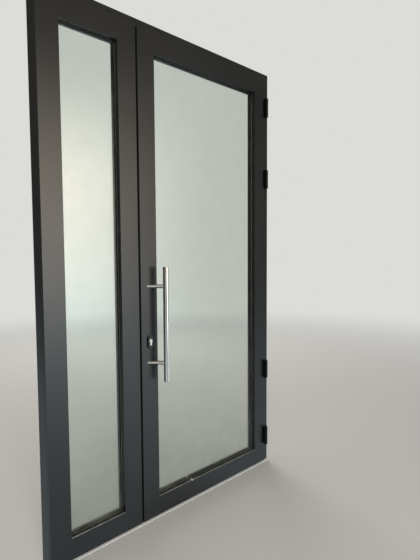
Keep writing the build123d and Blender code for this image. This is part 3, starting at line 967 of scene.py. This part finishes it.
@dataclass
class Hinges(Door):
    """Four barrel hinges, with two fixing screws in each frame part.

    Attributes:
        numbers: The hinges' numbers.
        screw: The heads of the fixing screws.
        screw_inset: How far in from the frame part's right edge they are.
        screw_drop: How far in from its ends.
        plate: The thickness of the plate that they stand on.
    """

    numbers: tuple[int, ...] = (1, 2, 3, 4)
    screw: SocketScrew = SocketScrew(3.6 * MM, 0.4 * MM, 3.0 * MM)
    screw_inset: float = 7.0 * MM
    screw_drop: float = 14.0 * MM
    plate: float = 6.0 * MM

    def build(self) -> None:
        """Dresses the hinges and makes their screws."""
        sides = ("frame", "leaf")
        parts = [f"hinge_{side}_part_{number}" for side in sides for number in self.numbers]
        self.dress(HINGE_COAT, *parts, "hinge_caps")
        self.dress(BRIGHT_STEEL, "hinge_pins")
        self.dress(NYLON, "hinge_washers")
        places = []
        for number in self.numbers:
            low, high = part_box(f"hinge_frame_part_{number}")
            x, y = high.x - self.screw_inset, high.y - self.plate
            places += [[x, y, low.z + self.screw_drop], [x, y, high.z - self.screw_drop]]
        points, faces = self.screw.heads(np.array(places), Vector((0, -1, 0)))
        make_piece(
            "hinge_fixing_screws", points, faces, self.material(HINGE_COAT), "frame",
        )


@dataclass
class PullHandles(Door):
    """The two bar handles, their through studs, and the grub screws under their posts.

    Attributes:
        post_heights: The heights of the posts' middles, in metres.
        post_radius: A post's radius.
        screw: The heads of the grub screws.
        screw_reach: How far a screw stands from the leaf and from the middle of its stud.
    """

    post_heights: Pair = (0.858, 1.258)
    post_radius: float = 10.0 * MM
    screw: SocketScrew = SocketScrew(2.6 * MM, 0.35 * MM, 2.6 * MM)
    screw_reach: float = 13.0 * MM

    def build(self) -> None:
        """Dresses the handles and makes the grub screws."""
        self.dress(STAINLESS, "outer_pull_handle", "inner_pull_handle")
        self.dress(BRIGHT_STEEL, "pull_handle_studs")
        low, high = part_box("pull_handle_studs")
        x = (low.x + high.x) / 2 + self.screw_reach
        for side in Side:
            title = side.name.lower()
            low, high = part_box(f"{title}_pull_handle")
            y = (low.y if side is Side.INNER else high.y) + side.value * self.screw_reach
            places = np.array([[x, y, z - self.post_radius] for z in self.post_heights])
            points, faces = self.screw.heads(places, Vector((0, 0, -1)))
            make_piece(
                f"{title}_handle_grub_screws", points, faces, self.material(BRIGHT_STEEL), "leaf",
            )


@dataclass
class Lock(Door):
    """The lock: cylinder, escutcheons, case, faceplate and bolt, and the seal below the leaf."""

    def build(self) -> None:
        """Dresses the lock's nodes and the seal."""
        self.dress(BLACK_ZINC, "outer_escutcheon", "inner_escutcheon")
        self.dress(NICKEL, "cylinder_body", "key_plugs")
        self.dress(ZINC, "lock_case", "cylinder_cam")
        self.dress(STAINLESS, "lock_faceplate")
        self.dress(BRIGHT_STEEL, "lock_screws", "deadbolt")
        self.dress(RUBBER, "leaf_bottom_seal")


# The studio


@dataclass(frozen=True)
class SoftBox:
    """One soft box of the world, seen only in sheen.

    Attributes:
        glow: Its strength.
        heading: Its middle, flat half width and full half width in degrees, from straight ahead.
        rise: The same three, from the horizon.
        behind: The share of its glow that it also has behind the door.
    """

    glow: float
    heading: Triple
    rise: Triple
    behind: float = 1.0


WINDOW = SoftBox(6.8, (19, 3, 26.5), (2.8, 4.5, 20.3))
SOFT_BOXES = (
    WINDOW,
    # the window's patch on the floor
    SoftBox(1.0, (30, 6, 17), (-16, 3, 11)),
    # the light at the window's right
    SoftBox(3.6, (100, 10, 27), (5, 30, 62)),
    # the light behind the camera
    SoftBox(0.75, (-50, 8, 34), (8, 22, 55), 0.35),
    # the bounce off the rest of the floor
    SoftBox(0.62, (0, 180, 181), (-28, 8, 26), 0.6),
    # the ceiling
    SoftBox(0.7, (0, 180, 181), (90, 25, 42)),
)


# large soft lamps: name, place and size in metres, power in watts; the second is behind the door
LAMPS = (
    ("key lamp", (-3.2, -4.4, 4.2), 3.2, 220.0),
    ("rear lamp", (2.6, 4.2, 3.6), 3.0, 130.0),
)


@dataclass
class Studio:
    """The camera at the photograph's angle, a pale floor, and soft light.

    The camera's place and turn were worked out from the door's own corners in the photograph.

    Attributes:
        camera_place: Where the camera stands, in metres.
        heading_deg, pitch_deg, roll_deg: How it is turned, from straight ahead.
        lens_mm, sensor_mm: Its focal length and the height of its sensor.
        floor_reach: The radii of the floor's first and last ring, in metres.
        floor_grid: How many rings it has, and how many points each.
        floor_colour: Its colour.
        floor_fade: The distances between which it fades into the backdrop.
        sheen_fade: The same for sheen.
        backdrop: The colour seen past the door and through its glass.
        sky_colour, sky_level: The even light on matt surfaces.
        base_sheen: The least light in sheen.
        door_plane: The slopes into the door between which a soft box takes its level behind.
        pane_dimming: How much of the sheen a sharp reflection keeps.
        low_tint, high_tint, window_tint: The sheen's colour from below, above and the window.
        tint_rise_deg: The angles above the horizon between which the first gives way.
        lamp_colour: The lamps' colour.
        lamp_aim: What they point at, in metres.
    """

    camera_place: Triple = (-1.57322, -1.89867, 1.43055)
    heading_deg: float = 44.1895
    pitch_deg: float = -3.5646
    roll_deg: float = 0.3348
    lens_mm: float = 28.3216
    sensor_mm: float = 36.0
    floor_reach: Pair = (1.0, 12.0)
    floor_grid: tuple[int, int] = (12, 48)
    floor_colour: str = "#cac8c4"
    floor_fade: Pair = (1.6, 9.0)
    sheen_fade: Pair = (0.0, 0.5)
    backdrop: str = "#dcdcd8"
    sky_colour: str = "#f4f4f6"
    sky_level: float = 0.45
    base_sheen: float = 0.02
    door_plane: Pair = (-0.05, 0.05)
    pane_dimming: float = 0.4
    low_tint: str = "#d8e7ec"
    high_tint: str = "#f8f0e6"
    window_tint: str = "#ffedd9"
    tint_rise_deg: Pair = (-13.0, 8.0)
    lamp_colour: str = "#fffaf2"
    lamp_aim: Triple = (0.0, 0.0, 1.2)

    def place_camera(self) -> None:
        """Puts the camera where the photograph was taken from."""
        data = bpy.data.cameras.new("camera")
        data.sensor_fit = "VERTICAL"
        data.sensor_height = self.sensor_mm
        data.lens = self.lens_mm
        camera = bpy.data.objects.new("camera", data)
        heading = Matrix.Rotation(math.radians(-self.heading_deg), 4, "Z")
        pitch = Matrix.Rotation(math.radians(90 + self.pitch_deg), 4, "X")
        roll = Matrix.Rotation(math.radians(-self.roll_deg), 4, "Z")
        camera.matrix_world = Matrix.Translation(self.camera_place) @ heading @ pitch @ roll
        bpy.context.collection.objects.link(camera)
        bpy.context.scene.camera = camera

    def lay_floor(self) -> None:
        """Lays a pale floor, a disc of rings whose radii grow by a constant factor."""
        rings, columns = self.floor_grid
        turn = np.linspace(0, 2 * np.pi, columns, endpoint=False)
        radius = np.geomspace(*self.floor_reach, rings)[:, None]
        edge = np.stack([radius * np.cos(turn), radius * np.sin(turn), 0 * radius * turn], -1)
        points = np.vstack([edge.reshape(-1, 3), np.zeros((1, 3))])
        steps = np.arange(columns)
        middle = np.stack([steps, (steps + 1) % columns, 0 * steps + len(points) - 1], 1)
        around = np.array(loop_faces(rings, columns))[:, ::-1]
        mesh = bpy.data.meshes.new("floor")
        mesh.from_pydata(points.tolist(), [], around.tolist() + middle.tolist())
        floor = bpy.data.objects.new("floor", mesh)
        bpy.context.collection.objects.link(floor)
        mesh.materials.append(self.floor_material())

    def floor_material(self) -> bpy.types.Material:
        """Makes the floor's matt material, which fades into the backdrop far away.

        It fades sooner for sheen, so that paint and metal reflect the soft light behind it.

        Returns:
            The material.
        """
        material = bpy.data.materials.new("matt studio floor")
        material.use_nodes = True
        material.node_tree.nodes.clear()
        add = partial(add_node, material.node_tree)
        place = add("TexCoord", output="Object")
        distance = add("VectorMath", place, output="Value", operation="LENGTH")
        # a ray through the glass counts as glossy too, and has to meet the floor as it is
        passed = add("LightPath", output="Is Transmission Ray")
        glossy = add("LightPath", output="Is Glossy Ray")
        reflected = add("Math", glossy, passed, operation="GREATER_THAN")
        near, beyond = (
            add("Mix", reflected, inputs={FROM: plain, TO: sheen})
            for plain, sheen in zip(self.floor_fade, self.sheen_fade)
        )
        far = add("MapRange", distance, near, beyond, 0.0, 1.0, **SMOOTH)
        matt = add("BsdfDiffuse", linear(self.floor_colour))
        add("OutputMaterial", add("MixShader", far, matt, add("BsdfTransparent")))
        return material

    def hump(self, add: Add, angle: Socket, middle: float, flat: float, reach: float) -> Socket:
        """Gives a smooth hump: 1 near its middle, falling to 0 further away.

        Args:
            add: Adds a node to the world's tree.
            angle: The angle looked along, in radians.
            middle: The hump's middle, in degrees.
            flat: How far from it the hump stays 1.
            reach: How far from it the hump ends.

        Returns:
            The hump's height at that angle.
        """
        offset = add("Math", angle, math.radians(middle), operation="SUBTRACT")
        offset = add("Math", offset, operation="ABSOLUTE")
        return add("MapRange", offset, math.radians(flat), math.radians(reach), 1.0, 0.0, **SMOOTH)

    def set_world(self) -> None:
        """Sets a pale backdrop, an even sky for matt surfaces, and soft boxes for sheen.

        A soft box is a hump across times a hump up times its glow, with no edge that would show
        in the glass. Each is there in front of the door and, in its share, behind it: the panes'
        reveals reflect what lies behind, which is darker than the light at the camera. Sheen is
        cool from the floor, and warm from above and round the window.
        """
        world = bpy.data.worlds.new("studio")
        world.use_nodes = True
        world.node_tree.nodes.clear()
        bpy.context.scene.world = world
        add = partial(add_node, world.node_tree)
        toward = add("TexCoord", output="Generated")
        inward = add("SeparateXYZ", toward, output="Y")
        depth = add("Math", inward, operation="ABSOLUTE")
        sideways = add("SeparateXYZ", toward, output="X")
        heading = add("Math", sideways, depth, operation="ARCTAN2")
        rise = add("Math", add("SeparateXYZ", toward, output="Z"), operation="ARCSINE")
        sheen = self.base_sheen
        for box in SOFT_BOXES:
            across = self.hump(add, heading, *box.heading)
            shape = add("Math", across, self.hump(add, rise, *box.rise), operation="MULTIPLY")
            levels = (box.glow, box.glow * box.behind)
            level = add("MapRange", inward, *self.door_plane, *levels, **SMOOTH)
            sheen = add("Math", shape, level, sheen, operation="MULTIPLY_ADD")
        singular = add("LightPath", output="Is Singular Ray")
        dimmed = add("Math", sheen, self.pane_dimming, operation="MULTIPLY")
        sheen = add("Mix", singular, inputs={FROM: sheen, TO: dimmed})

        # what the camera sees past the door or through its glass, but not in a reflection
        bounces = add("LightPath", output="Glossy Depth")
        unreflected = add("Math", bounces, 0.5, operation="LESS_THAN")
        passed = add("LightPath", output="Is Transmission Ray")
        through = add("Math", passed, unreflected, operation="MULTIPLY")
        seen = add("Math", add("LightPath", output="Is Camera Ray"), through, operation="MAXIMUM")
        glossy = add("LightPath", output="Is Glossy Ray")
        strength = add("Mix", glossy, inputs={FROM: self.sky_level, TO: sheen})
        strength = add("Mix", seen, inputs={FROM: strength, TO: 1.0})
        tint_rise = map(math.radians, self.tint_rise_deg)
        colour = layered(add, self.high_tint, [
            (self.hump(add, heading, *WINDOW.heading), self.window_tint),
            (add("MapRange", rise, *tint_rise, 1.0, 0.0, **SMOOTH), self.low_tint),
            (add("Math", 1.0, glossy, operation="SUBTRACT"), self.sky_colour),
            (seen, self.backdrop),
        ])
        add("OutputWorld", add("Background", colour, strength))

    def hang_lamps(self) -> None:
        """Hangs the lamps, which light the door but aren't seen in it."""
        for name, place, size, power in LAMPS:
            data = bpy.data.lights.new(name, "AREA")
            data.size = size
            data.energy = power
            data.color = linear(self.lamp_colour)[:3]
            lamp = bpy.data.objects.new(name, data)
            lamp.location = place
            aim = Vector(self.lamp_aim) - Vector(place)
            lamp.rotation_euler = aim.to_track_quat("-Z", "Y").to_euler()
            lamp.visible_camera = lamp.visible_glossy = lamp.visible_transmission = False
            bpy.context.collection.objects.link(lamp)

    def build(self) -> None:
        """Sets up the camera, floor, world and lamps."""
        self.place_camera()
        self.lay_floor()
        self.set_world()
        self.hang_lamps()
        bpy.context.scene.view_settings.view_transform = "Standard"
        LOG.info("studio ready")


def main() -> None:
    """Loads the frame, sets up the studio and dresses the door."""
    logging.basicConfig(level=logging.INFO)
    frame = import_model()
    Studio().build()
    shared = (frame["nodes"], {})
    Panel(*shared, "leaf", ("lock_stile", "hinge_stile"), "leaf", (PLASTER_CHIP,)).build()
    Panel(*shared, "sidelight", ("left_stile", "right_stile"), "frame").build()
    for assembly in (Frame, Hinges, PullHandles, Lock):
        assembly(*shared).build()


if __name__ == "__main__":
    main()
